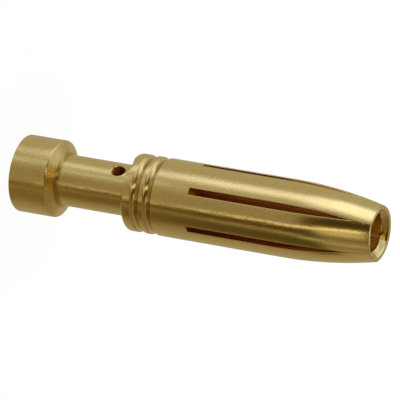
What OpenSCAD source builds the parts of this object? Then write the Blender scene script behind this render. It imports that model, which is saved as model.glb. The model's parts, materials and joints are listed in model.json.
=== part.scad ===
// Crimp socket contact, turned, slotted and gold plated as one piece.
// It stands on its wire end: the axis is Z, the socket opens upwards and the sight hole faces -Y.
// All sizes are in millimetres.

/* [Wire end] */
// Diameter of the cap around the wire entry
cap_d = 5; // [4.4:0.1:6]
// Length of the cap at its rim
cap_l = 2.6; // [1.5:0.1:4]
// Radius on both edges of the cap
cap_edge_r = 0.1; // [0.04:0.02:0.3]
// Angle of the cap's front face, which rises from the rim to the crimp barrel
cap_slope = 25; // [0:1:30]
// Outer diameter of the crimp barrel, the slim neck between cap and body
neck_d = 3.32; // [2.9:0.02:4]
// Length of the crimp barrel, from the cap's rim to the body
neck_l = 5.34; // [4:0.02:8]
// Radius in the corner between the crimp barrel and the cap
neck_fillet_r = 0.3; // [0.1:0.05:0.4]
// Diameter of the wire bore
wire_bore_d = 1.75; // [1.2:0.05:2.1]
// Diameter of the wire entry funnel at the end face
wire_funnel_d = 2.7; // [2.3:0.1:3.4]
// Diameter of the sight hole that shows the wire's end
sight_d = 0.9; // [0.6:0.05:1.2]
// Distance from the middle of the sight hole to the body
sight_to_body = 0.97; // [0.8:0.01:1.5]
// Depth of the broken edge around the sight hole
sight_edge = 0.08; // [0.02:0.02:0.12]
// Depth of the wire bore past the middle of the sight hole
wire_past_sight = 0.55; // [0.3:0.05:1]

/* [Body] */
// Outer diameter of the body
body_d = 5; // [4.6:0.1:5.6]
// Length of the closed part of the body, up to the roots of the slots
body_l = 4.6; // [3.8:0.1:7]
// Radius on the rear edge of the body
body_edge_r = 0.2; // [0.05:0.05:0.4]
// Number of marking rings turned into the body
ring_count = 2; // [1:1:3]
// Width of a marking ring
ring_w = 0.58; // [0.3:0.02:0.7]
// Depth of a marking ring
ring_depth = 0.18; // [0.08:0.02:0.24]
// Distance from one marking ring to the next
ring_pitch = 0.87; // [0.8:0.01:1]
// Distance from the rear of the body to the middle of the first marking ring
ring_start = 0.97; // [0.8:0.01:1.2]

/* [Spring tines] */
// Number of spring tines, with a slot between each two
tine_count = 6; // [4:1:8]
// Length of the slots, from their roots to the mouth
slot_l = 12.3; // [9:0.1:16]
// Width of the slots as sawn
slot_w = 0.45; // [0.3:0.01:0.6]
// Width of the slits that are left where the tines meet
slit_w = 0.02; // [0.01:0.01:0.1]
// How far the tines are turned below the body
tine_relief = 0.02; // [0.01:0.01:0.1]
// Diameter of the socket bore between the tines
bore_d = 3.4; // [3.2:0.05:3.6]
// Depth of the pilot hole that takes the pin's tip, past the roots of the slots
pilot_l = 1; // [0.4:0.1:1.5]
// Radius of the bend that closes the tines, at the axis
bend_r = 24; // [16:0.5:32]

/* [Mouth] */
// Outer diameter of the closed mouth
mouth_d = 3.5; // [3.4:0.02:4]
// Bevel on the outer edge of the mouth
mouth_edge = 0.06; // [0.02:0.02:0.12]
// Width of the flat rim around the mouth
rim_w = 0.14; // [0.1:0.02:0.34]
// Angle of the lead-in against each tine's own axis
lead_angle = 60; // [40:1:65]
// Diameter that the closed tips are sized to, where they grip the pin
grip_d = 2.4; // [2.2:0.05:2.5]

/* [Hidden] */

// Steps that draw a full circle, and the finer ones of the long bend
$fn = 180;
bend_steps = 900;
gold = [0.80, 0.68, 0.38];
drill_point = 118;
// Direction from the axis in which the first tine lies, on the side of the sight hole
first_tine = 270;
// How far a cutting shape runs past the face that it opens
over = 1;

cap_r = cap_d / 2;
neck_r = neck_d / 2;
body_r = body_d / 2;
tine_r = body_r - tine_relief;
bore_r = bore_d / 2;
grip_r = grip_d / 2;
wire_r = wire_bore_d / 2;
sight_r = sight_d / 2;

// Heights along the axis, from the wire end
body_z = cap_l + neck_l;
slot_z = body_z + body_l;
sight_z = body_z - sight_to_body;
wire_end_z = sight_z + wire_past_sight;
pilot_end_z = slot_z - pilot_l;

// A marking ring is a shallow arc: its radius, and how far its middle lies outside the body
ring_r = (ring_w * ring_w / 4 + ring_depth * ring_depth) / (2 * ring_depth);
ring_middle_r = body_r + ring_r - ring_depth;

// The bend angle at which the outside of a tine reaches the mouth's diameter
bend_reach = bend_r + tine_r;
bend_angle = acos((mouth_d / 2 + bend_r) / bend_reach);
straight_l = slot_l - bend_reach * sin(bend_angle);

// Radius of the lead-in at the rim, about a tine's own axis
lead_r = tine_r - mouth_edge - rim_w;
// How far a tine is let into the body
root_l = pilot_l / 2;

// Depth of the cone that a drill of the given radius leaves
function drill_cone(r) = r / tan(drill_point / 2);

// Half section of a cylinder with a radius on its lower and on its upper outer edge
module land(r, l, low_r, high_r) {
    translate([0, low_r])
        square([r, l - low_r - high_r]);
    square([r - max(low_r, high_r), l]);
    if (low_r > 0)
        translate([r - low_r, low_r])
            circle(low_r);
    if (high_r > 0)
        translate([r - high_r, l - high_r])
            circle(high_r);
}

// Half section of the cap up to its front face, which is a strip of solid laid at the face's angle
module cap_section() {
    strip_w = neck_r / 2;
    strip_l = (cap_r - strip_w) / cos(cap_slope);
    land(cap_r, cap_l, cap_edge_r, cap_edge_r);
    translate([cap_r - cap_edge_r, cap_l - cap_edge_r])
        rotate(-cap_slope)
            translate([-strip_l, cap_edge_r - strip_w])
                square([strip_l, strip_w]);
}

// Half section of the filled corner between the crimp barrel and the cap's front face, let into both
module neck_fillet() {
    reach = 2 * neck_fillet_r;
    // How far the corner's arc lies from the arc on the cap's rim, along the front face and across it
    across = cap_edge_r + neck_fillet_r;
    along = (across * sin(cap_slope) + cap_r - cap_edge_r - neck_r - neck_fillet_r) / cos(cap_slope);
    arc_z = cap_l - cap_edge_r + along * sin(cap_slope) + across * cos(cap_slope);
    translate([neck_r + neck_fillet_r, arc_z])
        difference() {
            intersection() {
                translate([-reach, -reach])
                    square(reach);
                rotate(-cap_slope)
                    translate([-2 * reach, -2 * reach])
                        square([2 * reach, 3 * reach]);
            }
            circle(neck_fillet_r);
        }
}

// Half section of the funnel and the drilled bore that take the wire
module wire_bore_section() {
    funnel_r = wire_funnel_d / 2;
    polygon([
        [0, -over],
        [funnel_r + over, -over],
        [wire_r, funnel_r - wire_r],
        [wire_r, wire_end_z],
        [0, wire_end_z + drill_cone(wire_r)]
    ]);
}

// Half section of the pilot hole at the bottom of the socket, as wide as the grip on the pin
module pilot_section() {
    polygon([
        [0, pilot_end_z - drill_cone(grip_r)],
        [grip_r, pilot_end_z],
        [grip_r, slot_z + over],
        [0, slot_z + over]
    ]);
}

// Cap, crimp barrel and body up to the roots of the slots
module turned_blank() {
    rotate_extrude()
        difference() {
            union() {
                cap_section();
                neck_fillet();
                square([neck_r, body_z + body_l / 2]);
                translate([0, body_z])
                    land(body_r, body_l, body_edge_r, 0);
            }
            for (i = [0 : ring_count - 1])
                translate([ring_middle_r, body_z + ring_start + i * ring_pitch])
                    circle(ring_r);
            wire_bore_section();
            pilot_section();
        }
}

// Sight hole through one wall of the crimp barrel, with its edge broken
module sight_hole() {
    edge_l = sight_edge + over;
    translate([0, 0, sight_z])
        rotate([90, 0, 0]) {
            cylinder(r = sight_r, h = neck_r + over);
            translate([0, 0, neck_r - sight_edge])
                cylinder(r1 = sight_r, r2 = sight_r + edge_l, h = edge_l);
        }
}

// Sector between the middles of two neighbouring slots, less half a gap on each side
module sector(gap) {
    half = 180 / tine_count;
    reach = 2 * body_r;
    apex = gap / 2 / sin(half);
    polygon([
        [apex, 0],
        [apex + reach * cos(half), reach * sin(half)],
        [apex + reach * cos(half), -reach * sin(half)]
    ]);
}

// Cross section of a tine as sawn, with the tine's middle along X
module tine_section() {
    intersection() {
        difference() {
            circle(tine_r);
            circle(bore_r);
        }
        sector(slot_w);
    }
}

// A straight tine that bends towards the axis in front
module bent_tine() {
    translate([0, 0, -root_l])
        linear_extrude(root_l + straight_l)
            tine_section();
    translate([-bend_r, 0, straight_l])
        rotate([90, 0, 0])
            rotate_extrude(angle = bend_angle, $fn = bend_steps)
                translate([bend_r, 0])
                    tine_section();
}

// What is turned off a tine's end: the lead-in and the bevel of the outer edge
module mouth_cut() {
    lead_depth = lead_r / tan(lead_angle);
    rotate_extrude() {
        polygon([
            [0, -lead_depth],
            [2 * lead_r, lead_depth],
            [0, lead_depth]
        ]);
        polygon([
            [tine_r + over, -mouth_edge - over],
            [tine_r + over, over],
            [tine_r - mouth_edge - over, over]
        ]);
    }
}

// One tine along +X, finished at its end and trimmed where it meets its neighbours
module tine() {
    intersection() {
        difference() {
            bent_tine();
            translate([-bend_r, 0, straight_l])
                rotate([0, -bend_angle, 0])
                    translate([bend_r, 0, 0])
                        mouth_cut();
        }
        translate([0, 0, -over])
            linear_extrude(slot_l + 2 * over)
                sector(slit_w);
    }
}

// The whole contact, with the tips of the tines sized for the pin
module socket_contact() {
    color(gold)
        difference() {
            union() {
                turned_blank();
                for (i = [0 : tine_count - 1])
                    translate([0, 0, slot_z])
                        rotate([0, 0, first_tine + i * 360 / tine_count])
                            tine();
            }
            sight_hole();
            translate([0, 0, slot_z + straight_l])
                cylinder(r = grip_r, h = slot_l);
        }
}

socket_contact();
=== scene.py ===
"""Crimp socket contact: the turned, slotted and gold plated piece, and the small studio around it."""

import json
import math

import bpy
from mathutils import Matrix, Vector


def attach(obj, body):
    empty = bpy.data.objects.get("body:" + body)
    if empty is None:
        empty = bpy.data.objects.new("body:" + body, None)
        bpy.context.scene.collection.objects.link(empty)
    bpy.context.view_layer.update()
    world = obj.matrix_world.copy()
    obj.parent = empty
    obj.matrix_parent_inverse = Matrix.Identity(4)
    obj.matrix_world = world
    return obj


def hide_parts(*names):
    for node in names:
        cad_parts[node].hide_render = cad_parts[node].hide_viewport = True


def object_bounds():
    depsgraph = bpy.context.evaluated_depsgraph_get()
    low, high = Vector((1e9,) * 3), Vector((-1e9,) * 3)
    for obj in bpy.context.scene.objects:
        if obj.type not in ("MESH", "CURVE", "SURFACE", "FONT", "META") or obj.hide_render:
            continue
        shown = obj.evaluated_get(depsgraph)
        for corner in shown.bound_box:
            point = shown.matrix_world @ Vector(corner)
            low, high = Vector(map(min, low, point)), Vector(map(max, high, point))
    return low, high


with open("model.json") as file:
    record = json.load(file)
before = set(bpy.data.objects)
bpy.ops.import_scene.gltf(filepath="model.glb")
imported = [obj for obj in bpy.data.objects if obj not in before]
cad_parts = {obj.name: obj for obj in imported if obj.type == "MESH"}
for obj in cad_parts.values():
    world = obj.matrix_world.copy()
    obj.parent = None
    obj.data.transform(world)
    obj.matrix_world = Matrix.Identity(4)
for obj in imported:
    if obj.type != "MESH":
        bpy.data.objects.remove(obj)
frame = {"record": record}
cad_low, cad_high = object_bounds()

# The piece is modelled in millimetres and brought to metres when it is finished
MM = 0.001
record = frame["record"]
mount_dims = {mount["name"]: mount["dims"] for mount in record["mounts"]}

# Wire end, in millimetres
cap_r = cad_high.x / MM
cap_l = 2.6
cap_edge_r = 0.1
cap_slope = math.radians(25)
neck_r = 1.66
neck_fillet_r = 0.3
wire_r = mount_dims["wire_barrel"]["r_mm"]
wire_end_z = 7.52
funnel_r = 1.35
sight_r = 0.45
sight_z = 6.97
sight_edge = 0.08

# Body and its marking rings
body_r = mount_dims["body_barrel"]["r_mm"]
body_z = 7.94
body_edge_r = 0.2
ring_middles = (8.91, 9.78)
ring_w = 0.58
ring_depth = 0.18
ring_edge_r = 0.06

# Socket and spring tines
tine_count = 6
slot_z = 12.54
slot_l = 12.3
slot_w = 0.45
slot_edge_r = 0.03
slit_w = 0.02
bore_r = 1.7
grip_r = mount_dims["pin_socket"]["r_mm"]
pilot_l = 1.0
bend_r = 24.0
mouth_r = 1.75
mouth_edge = 0.06
rim_w = 0.14
lead_angle = math.radians(60)
drill_angle = math.radians(59)

# How finely the round shapes are drawn
tine_columns = 24
gap_columns = 3
bend_rows = 36
corner_steps = 4
ring_steps = 12
hole_columns = 48
bore_columns = 16
pin_columns = 360
card_columns = 96
straight_rows = 8
lead_rows = 4
smooth_angle = math.radians(35)

# Points closer than the weld gap become one, and what is trimmed is cut more finely than that
weld_gap = 0.0005
trim_gap = 0.00005

# What follows from these sizes for the marking rings, the bend of the tines and the lead-in
ring_r = (ring_w ** 2 / 4 + ring_depth ** 2) / (2 * ring_depth)
ring_reach = ring_r + ring_edge_r
ring_half_angle = math.acos((ring_reach - ring_depth) / ring_reach)
ring_edge_z = ring_reach * math.sin(ring_half_angle)
bend_angle = math.acos((mouth_r + bend_r) / (bend_r + body_r))
straight_l = slot_l - (bend_r + body_r) * math.sin(bend_angle)
bend_z = slot_z + straight_l
lead_r = body_r - mouth_edge - rim_w
sector_angle = 2 * math.pi / tine_count

# Directions along the axis to the mouth and out through the sight hole, and a quarter of a turn
UP = Vector((0, 0, 1))
FRONT = Vector((0, -1, 0))
QUARTER = math.pi / 2
BEND_CENTRE = Vector((-bend_r, 0, bend_z))

# Half angles of a tine as sawn: to the rounded edge of a slot outside, and to the slot's wall inside
slot_half_angle = math.asin((slot_w / 2 + slot_edge_r) / (body_r - slot_edge_r))
tine_half_angle = sector_angle / 2 - slot_half_angle
bore_half_angle = sector_angle / 2 - math.asin(slot_w / 2 / bore_r)


# Tools for modelling

def begin_point(name, place):
    """A new piece that is a single point, selected in edit mode."""
    bpy.ops.object.select_all(action="DESELECT")
    bpy.ops.mesh.primitive_plane_add(size=1)
    piece = bpy.context.active_object
    piece.name = name
    piece.data.name = name
    bpy.ops.object.mode_set(mode="EDIT")
    bpy.ops.mesh.select_mode(type="VERT")
    bpy.ops.mesh.merge(type="CENTER")
    bpy.ops.transform.translate(value=place)
    return piece


def pick(piece, wanted):
    """Selects the points of a piece for which wanted(place) holds, and stays in edit mode."""
    bpy.ops.object.mode_set(mode="OBJECT")
    points = piece.data.vertices
    for point in points:
        point.select = bool(wanted(point.co))
    for edge in piece.data.edges:
        edge.select = all(points[i].select for i in edge.vertices)
    for face in piece.data.polygons:
        face.select = all(points[i].select for i in face.vertices)
    bpy.ops.object.mode_set(mode="EDIT")


def turn(angle, axis, centre, steps):
    """Spins what is selected about an axis, right-handed, and leaves the far end selected."""
    bpy.ops.mesh.spin(steps=steps, angle=-angle, center=centre, axis=axis)


def raise_up(height, rows):
    """Extrudes what is selected along Z in equal rows."""
    for _ in range(rows):
        bpy.ops.mesh.extrude_region_move(TRANSFORM_OT_translate={"value": (0, 0, height / rows)})


def weld():
    bpy.ops.mesh.select_all(action="SELECT")
    bpy.ops.mesh.remove_doubles(threshold=weld_gap)


def apply_modifier(piece, kind, **settings):
    """Adds a modifier to a piece and applies it."""
    bpy.ops.object.select_all(action="DESELECT")
    piece.select_set(True)
    bpy.context.view_layer.objects.active = piece
    modifier = piece.modifiers.new(kind.lower(), kind)
    for name, setting in settings.items():
        setattr(modifier, name, setting)
    bpy.ops.object.modifier_apply(modifier=modifier.name)


class Pen:
    """Draws an outline by extruding its last point along lines and round arcs."""

    def __init__(self, name, start):
        self.place = Vector(start)
        self.piece = begin_point(name, self.place)

    def line(self, *ends):
        for end in ends:
            step = Vector(end) - self.place
            bpy.ops.mesh.extrude_region_move(TRANSFORM_OT_translate={"value": step})
            self.place = Vector(end)

    def arc(self, centre, axis, angle, steps):
        centre = Vector(centre)
        turn(angle, axis, centre, steps)
        self.place = centre + Matrix.Rotation(angle, 3, axis) @ (self.place - centre)

    def lift_to(self, start):
        """Starts another outline in the same piece."""
        bpy.ops.mesh.duplicate()
        bpy.ops.transform.translate(value=Vector(start) - self.place)
        self.place = Vector(start)


# The turned blank: cap, crimp barrel and ringed body, up to the roots of the slots

def turned_outline():
    """Half section of the blank in the plane of X and Z."""
    def at(r, z):
        return (r, 0, z)

    def corner(r, z, angle, steps=corner_steps):
        pen.arc(at(r, z), FRONT, angle, steps)

    pen = Pen("turned_blank", at(0, wire_end_z + wire_r / math.tan(drill_angle)))
    pen.line(at(wire_r, wire_end_z), at(wire_r, funnel_r - wire_r), at(funnel_r, 0))
    pen.line(at(cap_r - cap_edge_r, 0))
    corner(cap_r - cap_edge_r, cap_edge_r, QUARTER)
    pen.line(at(cap_r, cap_l - cap_edge_r))
    corner(cap_r - cap_edge_r, cap_l - cap_edge_r, QUARTER - cap_slope)
    front_rise = (pen.place.x - neck_r) * math.tan(cap_slope)
    fillet_rise = neck_fillet_r * (1 - math.sin(cap_slope)) / math.cos(cap_slope)
    fillet_z = pen.place.z + front_rise + fillet_rise
    fillet_end = neck_fillet_r * Vector((math.sin(cap_slope), 0, math.cos(cap_slope)))
    pen.line(Vector(at(neck_r + neck_fillet_r, fillet_z)) - fillet_end)
    corner(neck_r + neck_fillet_r, fillet_z, cap_slope - QUARTER)
    # A row of points below the sight hole keeps the faces around the hole short
    pen.line(at(neck_r, sight_z - 2 * sight_r), at(neck_r, body_z))
    pen.line(at(body_r - body_edge_r, body_z))
    corner(body_r - body_edge_r, body_z + body_edge_r, QUARTER)
    for ring_z in ring_middles:
        pen.line(at(body_r, ring_z - ring_edge_z))
        corner(body_r - ring_edge_r, ring_z - ring_edge_z, ring_half_angle)
        corner(body_r + ring_r - ring_depth, ring_z, -2 * ring_half_angle, ring_steps)
        corner(body_r - ring_edge_r, ring_z + ring_edge_z, ring_half_angle)
    pen.line(at(body_r, slot_z))
    pen.lift_to(at(grip_r, slot_z))
    pen.line(at(grip_r, slot_z - pilot_l), at(0, slot_z - pilot_l - grip_r / math.tan(drill_angle)))
    return pen.piece


def turned_blank():
    """Spins the outline with its columns on the edges of the tines, and drills the sight hole."""
    blank = turned_outline()
    bpy.ops.mesh.select_all(action="SELECT")
    for _ in range(tine_count):
        turn(sector_angle / 2 - tine_half_angle, UP, (0, 0, 0), gap_columns)
        turn(2 * tine_half_angle, UP, (0, 0, 0), tine_columns)
        turn(sector_angle / 2 - tine_half_angle, UP, (0, 0, 0), gap_columns)
    weld()
    bpy.ops.mesh.normals_make_consistent(inside=False)
    bpy.ops.object.mode_set(mode="OBJECT")
    drill = sight_drill()
    apply_modifier(blank, "BOOLEAN", operation="DIFFERENCE", solver="EXACT", object=drill)
    bpy.data.objects.remove(drill)
    return blank


def sight_drill():
    """The drill of the sight hole, with the cone that breaks the hole's edge."""
    cone_y = sight_edge - neck_r
    cone_l = 1.0
    pen = Pen("sight_drill", (0, 0, sight_z))
    pen.line((sight_r, 0, sight_z), (sight_r, cone_y, sight_z))
    pen.line((sight_r + cone_l, cone_y - cone_l, sight_z), (0, cone_y - cone_l, sight_z))
    bpy.ops.mesh.select_all(action="SELECT")
    turn(2 * math.pi, FRONT, (0, 0, sight_z), hole_columns)
    weld()
    bpy.ops.mesh.normals_make_consistent(inside=False)
    bpy.ops.object.mode_set(mode="OBJECT")
    return pen.piece


# The spring tines: sawn section, straight stretch, bend towards the axis, lead-in and closed slits

def around(r, angle, z=slot_z):
    return (r * math.cos(angle), r * math.sin(angle), z)


def tine_section():
    """Closed outline of a tine where it leaves the blank, with its middle along X."""
    edge_r = body_r - slot_edge_r
    wall_side = sector_angle / 2 + QUARTER
    edge_turn = wall_side - tine_half_angle
    wall_start = Vector(around(edge_r, -tine_half_angle)) + slot_edge_r * Vector(around(1, -wall_side, 0))
    pen = Pen("spring_tines", around(body_r, -tine_half_angle))
    pen.arc((0, 0, slot_z), UP, 2 * tine_half_angle, tine_columns)
    pen.arc(around(edge_r, tine_half_angle), UP, edge_turn, corner_steps)
    pen.line(around(bore_r, bore_half_angle))
    pen.arc((0, 0, slot_z), UP, -2 * bore_half_angle, bore_columns)
    pen.line(wall_start)
    pen.arc(around(edge_r, -tine_half_angle), UP, edge_turn, corner_steps)
    weld()
    return pen.piece


def as_sawn(place, angle):
    """Where a point of a tine lay before the tine was bent by that angle."""
    return BEND_CENTRE + Matrix.Rotation(-angle, 3, FRONT) @ (place - BEND_CENTRE)


def widen_end(tine, angle, inner_r, outer_r):
    """Gives the section at that bend angle other radii, about the tine's own axis."""
    middle = BEND_CENTRE + Matrix.Rotation(angle, 3, FRONT) @ Vector((bend_r, 0, 0))

    def in_section(place, inside):
        sawn = as_sawn(place, angle)
        is_inside = math.hypot(sawn.x, sawn.y) < (bore_r + body_r) / 2
        return abs(sawn.z - bend_z) < weld_gap and is_inside == inside

    for inside, scale in ((True, inner_r / bore_r), (False, outer_r / body_r)):
        pick(tine, lambda place: in_section(place, inside))
        bpy.ops.transform.resize(value=(scale, scale, scale), center_override=middle)
    pick(tine, lambda place: abs(as_sawn(place, angle).z - bend_z) < weld_gap)


def spring_tine():
    """One tine along X: swept along its bend, turned out at the mouth, sized and trimmed."""
    tine = tine_section()
    lead_start = bend_angle - (lead_r - bore_r) / math.tan(lead_angle) / (bend_r + bore_r)
    edge_start = bend_angle - mouth_edge / (bend_r + body_r)
    edge_lead_r = lead_r - mouth_edge * math.tan(lead_angle)
    raise_up(straight_l, straight_rows)
    turn(lead_start, FRONT, BEND_CENTRE, bend_rows)
    turn(edge_start - lead_start, FRONT, BEND_CENTRE, lead_rows)
    turn(bend_angle - edge_start, FRONT, BEND_CENTRE, 1)
    for row in range(1, lead_rows + 1):
        share = row / lead_rows
        row_angle = lead_start + share * (edge_start - lead_start)
        widen_end(tine, row_angle, bore_r + share * (edge_lead_r - bore_r), body_r)
    widen_end(tine, bend_angle, lead_r, body_r - mouth_edge)
    bpy.ops.mesh.edge_face_add()
    bpy.ops.object.mode_set(mode="OBJECT")
    size_grip(tine)
    close_slits(tine)
    return tine


def size_grip(tine):
    """Opens the tine's tip to the grip's radius, as a sizing pin does."""
    bore = tine.vertex_groups.new(name="bore")
    for point in tine.data.vertices:
        if math.hypot(point.co.x, point.co.y) < grip_r and point.co.z > bend_z:
            bore.add([point.index], 1.0, "REPLACE")
    bpy.ops.object.select_all(action="DESELECT")
    bpy.ops.mesh.primitive_cylinder_add(vertices=pin_columns, radius=grip_r, depth=2 * slot_l,
                                        location=(0, 0, slot_z + slot_l))
    pin = bpy.context.active_object
    apply_modifier(tine, "SHRINKWRAP", target=pin, vertex_group=bore.name,
                   wrap_method="NEAREST_SURFACEPOINT", wrap_mode="OUTSIDE")
    bpy.data.objects.remove(pin)
    tine.vertex_groups.clear()


def close_slits(tine):
    """Trims a tine where it meets its neighbours."""
    bpy.ops.object.mode_set(mode="EDIT")
    for side in (1, -1):
        outwards = Vector(around(1, side * (sector_angle / 2 + QUARTER), 0))
        bpy.ops.mesh.select_all(action="SELECT")
        bpy.ops.mesh.bisect(plane_co=-slit_w / 2 * outwards, plane_no=outwards, use_fill=True,
                            clear_outer=True, threshold=trim_gap)
    bpy.ops.object.mode_set(mode="OBJECT")


def contact():
    """The whole contact: the blank with its six tines, closed between them at the roots of the slots."""
    blank = turned_blank()
    first = spring_tine()
    tines = [first]
    for _ in range(tine_count - 1):
        tines.append(first.copy())
        tines[-1].data = first.data.copy()
        bpy.context.scene.collection.objects.link(tines[-1])
    bpy.ops.object.select_all(action="DESELECT")
    for i, tine in enumerate(tines):
        tine.rotation_euler.z = (i + 0.5) * sector_angle
        tine.select_set(True)
    blank.select_set(True)
    bpy.context.view_layer.objects.active = blank
    bpy.ops.object.transform_apply(location=False, rotation=True, scale=False)
    bpy.ops.object.join()
    bpy.ops.object.mode_set(mode="EDIT")
    weld()
    bpy.ops.mesh.select_all(action="DESELECT")
    bpy.ops.mesh.select_non_manifold()
    bpy.ops.mesh.fill(use_beauty=True)
    bpy.ops.mesh.select_all(action="SELECT")
    bpy.ops.mesh.normals_make_consistent(inside=False)
    bpy.ops.transform.resize(value=(MM, MM, MM), center_override=(0, 0, 0))
    bpy.ops.object.mode_set(mode="OBJECT")
    bpy.ops.object.shade_smooth_by_angle(angle=smooth_angle)
    apply_modifier(blank, "WEIGHTED_NORMAL", keep_sharp=True)
    blank.name = "contact"
    return blank


piece = contact()
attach(piece, "root")
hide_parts("socket_contact")


# Shader maths

class Value:
    """A socket in a node tree that takes Python arithmetic: an expression adds its Math nodes."""

    def __init__(self, tree, socket=None):
        self.tree = tree
        self.socket = socket

    def node(self, kind, inputs=None, settings=None, output=0):
        """Adds any node: its settings first, then the values or links of its sockets, by name or number."""
        made = self.tree.nodes.new("ShaderNode" + kind)
        for name, setting in (settings or {}).items():
            if name == "stops":
                self.set_stops(made.color_ramp.elements, setting)
            else:
                setattr(made, name, setting)
        for name, value in (inputs or {}).items():
            if isinstance(value, Value):
                self.tree.links.new(value.socket, made.inputs[name])
            else:
                made.inputs[name].default_value = value
        return Value(self.tree, made.outputs[output] if made.outputs else None)

    @staticmethod
    def set_stops(elements, stops):
        for _ in stops[2:]:
            elements.new(1.0)
        for element, (position, colour) in zip(elements, stops):
            element.position = position
            element.color = (*colour, 1.0)

    def maths(self, operation, first, second):
        return self.node("Math", {0: first, 1: second}, {"operation": operation})

    def __add__(self, other):
        return self.maths("ADD", self, other)

    __radd__ = __add__

    def __sub__(self, other):
        return self.maths("SUBTRACT", self, other)

    def __rsub__(self, other):
        return self.maths("SUBTRACT", other, self)

    def __mul__(self, other):
        return self.maths("MULTIPLY", self, other)

    __rmul__ = __mul__


def new_tree(holder):
    """An empty node tree on a material or a world."""
    holder.use_nodes = True
    holder.node_tree.nodes.clear()
    return Value(holder.node_tree)


def mixed(share, first, second):
    """A colour between two colours."""
    return share.node("Mix", {0: share, 6: first, 7: second}, {"data_type": "RGBA"}, output=2)


# The gold plate: satin at the wire end and brighter towards the mouth, with a fine grain and small dents,
# and painted shade and reflection in its corner, rings, slots and throat

# Zones of the plate: the heights over which each of them fades in and, where two pairs are given, out again
cap_front_zone = ((2.50, 2.60), (2.94, 3.10))
cap_corner_zone = ((2.84, 2.94), (3.08, 3.28))
body_start = (6.0, 9.0)
bend_start = (17.0, 21.0)
throat_start = (21.5, 23.5)
lead_in_start = (24.2, 24.4)

# The same for a marking ring's wall, from the ring's middle, and for the depth at which a place is hidden
# and takes painted shade and reflection
ring_wall_zone = ((-0.10, 0.0), (0.22, 0.27))
hidden_depth = (0.04, 0.12)

# Length below the roots of the slots over which depth begins to count from the tines' outside
root_fade = 0.05

# Heights between which the plate turns from satin to bright
polish_range = (3.0, 24.0)

# Roughness at the two ends, and what patches, hidden places and the corner behind the cap add to it
satin_roughness = 0.24
bright_roughness = 0.09
patch_roughness = 0.06
hidden_roughness = 0.30
corner_roughness = 0.10

# Sheen of the turned surface, and its direction in turns
turned_sheen = 0.85
sheen_turn = 0.25

# Colours of the grain, and the painted shade and reflection that stand in for the plate mirroring itself in
# the corner behind the cap, in the marking rings, in the slots and in the throat, and how far the corner
# and the rings take on their painted shade
DARK_GRAIN = (0.885, 0.705, 0.33, 1.0)
LIGHT_GRAIN = (0.965, 0.785, 0.40, 1.0)
CORNER_PAINTED_SHADE = (0.56, 0.37, 0.09, 1.0)
RING_PAINTED_SHADE = (0.52, 0.33, 0.09, 1.0)
SLOT_PAINTED_SHADE = (0.82, 0.42, 0.11, 1.0)
THROAT_PAINTED_REFLECTION = (0.95, 0.62, 0.22, 1.0)
painted_shade_share = 0.8

# Grain, patches and dents: about how many there are in a metre, the grain's soft edge and the dents' height
grain_scale = 9000
grain_edge = (0.35, 0.65)
patch_scale = 500
dent_scale_across = 8000
dent_scale_along = 5000
dent_height = 0.018

# Share of that height at the wire end, and how much less there is on the cap's front, the body and the bend
wire_end_dents = 0.55
cap_front_smoothing = 0.4
body_smoothing = 0.2
bend_smoothing = 0.2


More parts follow.
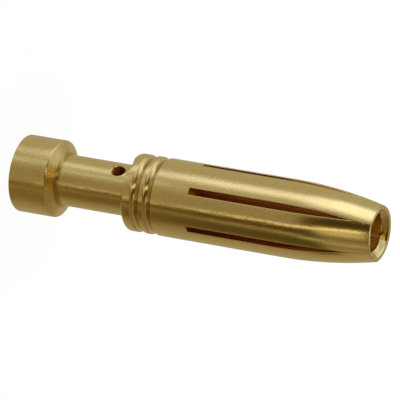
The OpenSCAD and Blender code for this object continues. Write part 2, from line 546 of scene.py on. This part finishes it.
def gold_plate():
    material = bpy.data.materials.new("gold_plate")
    tree = new_tree(material)
    place = tree.node("TexCoord", output="Object")
    across = tree.node("VectorMath", {0: place, 1: (1 / MM, 1 / MM, 0)}, {"operation": "MULTIPLY"})
    radius = tree.node("VectorMath", {0: across}, {"operation": "LENGTH"}, output="Value")
    height = tree.node("SeparateXYZ", {0: place}, output="Z") * (1 / MM)

    def noise(scale_across, scale_along, detail):
        spread = tree.node("VectorMath", {0: place, 1: (scale_across, scale_across, scale_along)},
                           {"operation": "MULTIPLY"})
        return tree.node("TexNoise", {"Vector": spread, "Scale": 1.0, "Detail": detail})

    def step(value, low, high):
        return tree.node("MapRange", {0: value, 1: low, 2: high}, {"interpolation_type": "SMOOTHSTEP"})

    def zone(value, fade_in, fade_out):
        return step(value, *fade_in) * (1 - step(value, *fade_out))

    # How deep a place lies below the outside of the barrel or of the tines, which follow the bend
    bent = tree.maths("MAXIMUM", height - bend_z, 0.0)
    bend_fall = tree.maths("SQRT", (bend_r + body_r) ** 2 - bent * bent, 0.0) - bend_r
    on_tines = step(height, slot_z - root_fade, slot_z)
    outside = neck_r + on_tines * (bend_fall - neck_r)
    inside = step(outside - radius, *hidden_depth) * (1 - step(height, *lead_in_start))

    # The corner between the crimp barrel and the cap's front: its colour is painted shade and reflection,
    # standing for the plate mirroring itself there, and it is also rougher
    corner = zone(height, *cap_corner_zone)

    # The walls of the marking rings that face the wire end, which get painted shade and reflection for the
    # opposite walls that they mirror
    ring_walls = [zone(height - middle, *ring_wall_zone) for middle in ring_middles]

    patches = noise(patch_scale, patch_scale, 2.0)
    polish = tree.node("MapRange", {0: height, 1: polish_range[0], 2: polish_range[1],
                                    3: satin_roughness, 4: bright_roughness})
    worn = polish + patch_roughness * (patches - 0.5)
    roughness = worn + hidden_roughness * inside + corner_roughness * corner

    grain = step(noise(grain_scale, grain_scale, 1.0), *grain_edge)
    plate = mixed(grain, DARK_GRAIN, LIGHT_GRAIN)
    # Painted shade: the corner behind the cap is darkened and browned as if the plate mirrored itself there
    cornered = mixed(painted_shade_share * corner, plate, CORNER_PAINTED_SHADE)
    # Painted shade: the ring walls that face the wire end are darkened as if they mirrored the opposite
    # walls
    shaded = mixed(painted_shade_share * (ring_walls[0] + ring_walls[1]), cornered, RING_PAINTED_SHADE)
    # Painted shade and reflection inside the slots and bore: darker red-brown in the slots and orange in
    # the throat, standing for the gold mirroring itself
    hidden = mixed(step(height, *throat_start), SLOT_PAINTED_SHADE, THROAT_PAINTED_REFLECTION)
    colour = mixed(inside, shaded, hidden)

    dents = noise(dent_scale_across, dent_scale_along, 2.0)
    on_cap_front = cap_front_smoothing * zone(height, *cap_front_zone)
    on_body = body_smoothing * step(height, *body_start)
    on_bend = bend_smoothing * step(height, *bend_start)
    dent_depth = wire_end_dents - on_cap_front - on_body - on_bend
    bump = tree.node("Bump", {"Height": dents * dent_depth, "Strength": 1.0, "Distance": dent_height * MM})
    surface = tree.node("BsdfPrincipled", {"Base Color": colour, "Metallic": 1.0, "Roughness": roughness,
                                           "Normal": bump, "Anisotropic": turned_sheen,
                                           "Anisotropic Rotation": sheen_turn})
    tree.node("OutputMaterial", {"Surface": surface})
    return material


piece.data.materials.clear()
piece.data.materials.append(gold_plate())


# The studio: white floor and sky, and a tent of cards round the contact that only its plate mirrors

# Camera: where it stands, its lens, the height on the axis that it looks at, and its aim's shift from there
camera_bearing = math.radians(-46)
camera_elevation = math.radians(23.3)
camera_roll = math.radians(99.76)
camera_distance = 290
camera_lens = 411.9
aim_z = 12.44
aim_right = -0.0285
aim_up = 0.18

# Floor: its size in metres, the grey of its paper, and the share of pure white in what is seen of it
floor_size = 4.0
paper_grey = 0.9
floor_white = 0.9

# Cards: how far the rings on the floor reach, and where the walls, the ceiling and the overhead card lie
card_z = 0.02
tent_inner_r = 2.3
cap_card_r = 8.6
neck_card_r = 20.4
body_card_r = 31.5
tine_card_r = 58
bend_card_r = 80
wall_r = 128
low_wall_z = 12
middle_wall_z = 40
high_wall_r = 110
high_wall_z = 32
ceiling_z = 110
overhead_r = 40

# Lamp: the height of the contact's middle, which it faces
lamp_aim_z = 12.5

# Tints of the cards
WARM = (1.0, 0.72, 0.22)
STRIP = (1.0, 0.86, 0.52)
BROWN = (1.0, 0.92, 0.70)
PALE = (1.0, 1.0, 1.0)


def seen_directly(tree):
    """1 for rays from the camera and rays that mirror or refract, 0 for scattered light."""
    kinds = ("Is Camera Ray", "Is Glossy Ray", "Is Transmission Ray")
    rays = [tree.node("LightPath", output=kind) for kind in kinds]
    return rays[0] + rays[1] + rays[2]


def white_world():
    world = bpy.data.worlds.new("white_studio")
    bpy.context.scene.world = world
    tree = new_tree(world)
    white = tree.node("Background", {"Color": (1, 1, 1, 1), "Strength": 1.0})
    tree.node("OutputWorld", {"Surface": white})


def white_floor():
    bpy.ops.object.select_all(action="DESELECT")
    bpy.ops.mesh.primitive_plane_add(size=floor_size)
    floor = bpy.context.active_object
    floor.name = "floor"
    material = bpy.data.materials.new("white_floor")
    tree = new_tree(material)
    paper = tree.node("BsdfDiffuse", {"Color": (paper_grey, paper_grey, paper_grey, 1)})
    white = tree.node("Emission", {"Color": (1, 1, 1, 1), "Strength": 1.0})
    shown = tree.node("MixShader", {0: floor_white * seen_directly(tree), 1: paper, 2: white})
    tree.node("OutputMaterial", {"Surface": shown})
    floor.data.materials.append(material)


def card_colour(level, tint):
    """A card's colour: the dimmer, the browner, as green and blue fade faster than red."""
    green = min(1.0, max(0.70, 0.54 + 0.9 * level))
    blue = min(1.0, max(0.22, 1.75 * level - 0.08))
    return (level * tint[0], level * green * tint[1], level * blue * tint[2])


def mirrored_side(tree, mirror_r):
    """The bearing, from the camera's side, of the place on a cylinder of that radius that mirrors the card.

    A mirrored ray leaves the cylinder at twice that bearing. Each round allows better for the ray's start,
    which lies off the axis.
    """
    rounds = 3
    place = tree.node("TexCoord", output="Object")
    x, y = (tree.node("SeparateXYZ", {0: place}, output=axis) for axis in "XY")
    bearing = 0.0 - tree.maths("ARCTAN2", y, x)
    distance = tree.maths("SQRT", x * x + y * y, 0.0)
    side = 0.5 * bearing
    for _ in range(rounds):
        offset = tree.maths("DIVIDE", tree.maths("SINE", side, 0.0) * (mirror_r * MM), distance)
        side = 0.5 * (bearing + tree.maths("ARCSINE", offset, 0.0))
    return side


def card(name, inner, outer, mirror_r, levels, tint=PALE):
    """A ring of card between two (r, z) in millimetres, whose brightness changes around the contact.

    A level belongs to the place on the contact that mirrors it. That place is given in degrees from the
    camera's side, which grow towards the upper edge of the picture. A tint after a level is its own.
    """
    pen = Pen(name, (inner[0], 0, inner[1]))
    pen.line((outer[0], 0, outer[1]))
    bpy.ops.mesh.select_all(action="SELECT")
    turn(2 * math.pi, UP, (0, 0, 0), card_columns)
    weld()
    bpy.ops.transform.resize(value=(MM, MM, MM), center_override=(0, 0, 0))
    bpy.ops.object.mode_set(mode="OBJECT")
    ring = pen.piece
    ring.rotation_euler.z = camera_bearing
    material = bpy.data.materials.new(name)
    tree = new_tree(material)
    share = 0.5 + mirrored_side(tree, mirror_r) * (1 / math.pi)
    stops = []
    for side, level, *own_tint in reversed(levels):
        stops.append((0.5 + side / 180, card_colour(level, own_tint[0] if own_tint else tint)))
    colour = tree.node("ValToRGB", {0: share}, {"stops": stops})
    glow = tree.node("Emission", {"Color": colour, "Strength": 1.0})
    tree.node("OutputMaterial", {"Surface": glow})
    ring.data.materials.append(material)
    ring.visible_camera = False
    ring.visible_shadow = False
    ring.visible_diffuse = False


def floor_levels(box, second_box, strip, flag, line, box_side=35, strip_side=-11.2):
    """Levels of a ring of the floor.

    Two soft boxes, a thin strip of light below them, and a dark flag with a faint line of light in it.
    """
    plain = 0.40
    rise = box - plain
    glow = line - flag
    return (
        (90, 0.42), (48, plain),
        (box_side + 9, plain + 0.05 * rise), (box_side + 5.5, plain + 0.45 * rise),
        (box_side + 2, plain + 0.95 * rise), (box_side, box),
        (box_side - 3, plain + 0.82 * rise), (box_side - 6.5, plain + 0.22 * rise),
        (24.5, 0.42), (21, second_box), (18.5, second_box),
        (14, 0.39), (10, 0.34), (6, 0.305), (-8, 0.295),
        (strip_side + 1.6, 0.15 + 0.5 * strip), (strip_side + 0.6, strip, STRIP),
        (strip_side - 0.6, strip, STRIP), (strip_side - 2, 0.15 + 0.8 * flag),
        (-15, flag, BROWN), (-17.5, 0.9 * flag, BROWN), (-19.3, 0.02 + flag),
        (-20.9, flag + 0.55 * glow), (-22.4, line), (-24.6, flag + 0.4 * glow),
        (-28, flag), (-34, flag), (-40, 0.06 + 0.75 * flag),
        (-44, 0.225), (-50, 0.285), (-60, 0.335), (-90, 0.42),
    )


def wall_levels(strip_side):
    """Levels of a ring of the wall, with a soft box and, below it, a thin strip of light at that side."""
    return (
        (90, 0.43), (60, 0.43), (53, 0.44), (49, 0.46), (46, 0.60), (43.5, 0.92), (41, 1.20),
        (31, 1.20), (27, 0.88), (24, 0.50), (20, 0.31), (16, 0.30), (12, 0.22), (9, 0.06), (1, 0.05),
        (strip_side + 4.6, 0.08), (strip_side + 2.4, 0.22), (strip_side, 0.96, STRIP),
        (strip_side - 1.6, 0.86, STRIP), (strip_side - 3.3, 0.53, STRIP),
        (-14, 0.54, STRIP), (-16.5, 0.32), (-19.5, 0.20), (-24, 0.26), (-28, 0.36), (-32, 0.23),
        (-36, 0.29), (-50, 0.31), (-56, 0.33), (-75, 0.40), (-90, 0.43),
    )


far_levels = (
    (90, 0.43), (56, 0.43), (50, 0.43), (46, 0.46), (43, 0.55), (41, 0.85), (39, 1.05), (33, 1.08),
    (28, 0.95), (24, 0.64), (20, 0.32), (14, 0.16), (10, 0.25), (7, 0.26), (4.5, 0.08), (-3, 0.07),
    (-7, 0.14), (-8.7, 0.78, STRIP), (-10.3, 0.78, STRIP), (-11.8, 0.18), (-13.5, 0.06), (-20, 0.08),
    (-22.5, 0.14), (-25, 0.44), (-27.5, 0.16), (-31, 0.07), (-38, 0.09), (-48, 0.10), (-53, 0.17),
    (-56, 0.29), (-64, 0.34), (-90, 0.43),
)
high_wall_levels = (
    (90, 0.36), (76, 0.38), (66, 0.45), (58, 0.75), (44, 0.85), (40, 0.72), (34, 0.40), (28, 0.20),
    (20, 0.06), (13, 0.05), (11.5, 1.10, STRIP), (6.5, 1.10, STRIP), (5, 0.05), (-5, 0.06), (-9, 0.12),
    (-14, 0.16), (-45, 0.20), (-70, 0.27), (-90, 0.40),
)
ceiling_levels = (
    (90, 0.38), (70, 0.50), (50, 0.55), (38, 0.60), (30, 0.40), (24, 0.20), (15, 0.05),
    (11.5, 1.00, STRIP), (6.5, 1.00, STRIP), (5, 0.05), (-12, 0.05), (-20, 0.15), (-70, 0.25), (-90, 0.38),
)
overhead_levels = (
    (90, 0.60, PALE), (66, 0.58, PALE), (54, 0.34), (40, 0.40), (24, 0.14), (18, 0.14), (16, 0.84),
    (0, 0.80), (-8, 0.46), (-12, 0.26), (-30, 0.28), (-54, 0.31), (-66, 0.58, PALE), (-90, 0.60, PALE),
)

# The rings on the floor are named for what mirrors them: each ends where the next begins
card("cap_card", (tent_inner_r, card_z), (cap_card_r, card_z), cap_r,
     floor_levels(box=0.54, second_box=0.54, strip=0.30, flag=0.19, line=0.225))
card("neck_card", (cap_card_r, card_z), (neck_card_r, card_z), neck_r,
     floor_levels(box=0.68, second_box=0.58, strip=0.53, flag=0.155, line=0.26, strip_side=-12))
card("body_card", (neck_card_r, card_z), (body_card_r, card_z), body_r,
     floor_levels(box=0.76, second_box=0.42, strip=0.31, flag=0.115, line=0.21))
card("tine_card", (body_card_r, card_z), (tine_card_r, card_z), body_r,
     floor_levels(box=0.93, second_box=0.42, strip=0.64, flag=0.09, line=0.29, box_side=34,
                  strip_side=-10.7))
card("bend_card", (tine_card_r, card_z), (bend_card_r, card_z), body_r,
     floor_levels(box=0.97, second_box=0.42, strip=0.84, flag=0.075, line=0.33, box_side=33.3,
                  strip_side=-10.6))
card("far_card", (bend_card_r, card_z), (wall_r, card_z), body_r, far_levels)
card("wall_card", (wall_r, card_z), (wall_r, low_wall_z), body_r, wall_levels(strip_side=-7.3))
card("middle_wall_card", (wall_r, low_wall_z), (wall_r, middle_wall_z), body_r,
     wall_levels(strip_side=-6.3))
card("high_wall_card", (high_wall_r, high_wall_z), (high_wall_r, ceiling_z), body_r, high_wall_levels)
card("ceiling_card", (high_wall_r, ceiling_z), (overhead_r, ceiling_z), body_r, ceiling_levels)
card("overhead_card", (overhead_r, ceiling_z), (0, ceiling_z), 0.0, overhead_levels, WARM)
white_world()
white_floor()


def lamp(name, bearing, elevation, distance, size, watts):
    """A square lamp that faces the middle of the contact, whose plate doesn't mirror it."""
    light = bpy.data.lights.new(name, "AREA")
    light.size = size * MM
    light.energy = watts
    holder = bpy.data.objects.new(name, light)
    holder.visible_glossy = False
    bpy.context.scene.collection.objects.link(holder)
    angle = camera_bearing - math.radians(bearing)
    rise = math.radians(elevation)
    reach = math.cos(rise)
    outwards = Vector((reach * math.cos(angle), reach * math.sin(angle), math.sin(rise)))
    holder.location = MM * (Vector((0, 0, lamp_aim_z)) + distance * outwards)
    holder.rotation_euler = outwards.to_track_quat("Z", "Y").to_euler()


lamp("overhead_fill", bearing=0, elevation=90, distance=300, size=300, watts=0.2)


def add_camera():
    """A long lens, rolled so that the standing contact lies across the picture."""
    data = bpy.data.cameras.new("camera")
    data.lens = camera_lens
    data.clip_start = 0.01
    data.clip_end = 10
    camera = bpy.data.objects.new("camera", data)
    bpy.context.scene.collection.objects.link(camera)
    bpy.context.scene.camera = camera
    turned = (Matrix.Rotation(camera_bearing + QUARTER, 4, "Z")
              @ Matrix.Rotation(QUARTER - camera_elevation, 4, "X")
              @ Matrix.Rotation(camera_roll, 4, "Z"))
    right, up, backwards = (column.xyz for column in turned.col[:3])
    aim = Vector((0, 0, aim_z)) + aim_right * right + aim_up * up
    camera.matrix_world = Matrix.Translation(MM * (aim + camera_distance * backwards)) @ turned


add_camera()
bpy.context.scene.view_settings.view_transform = "Standard"
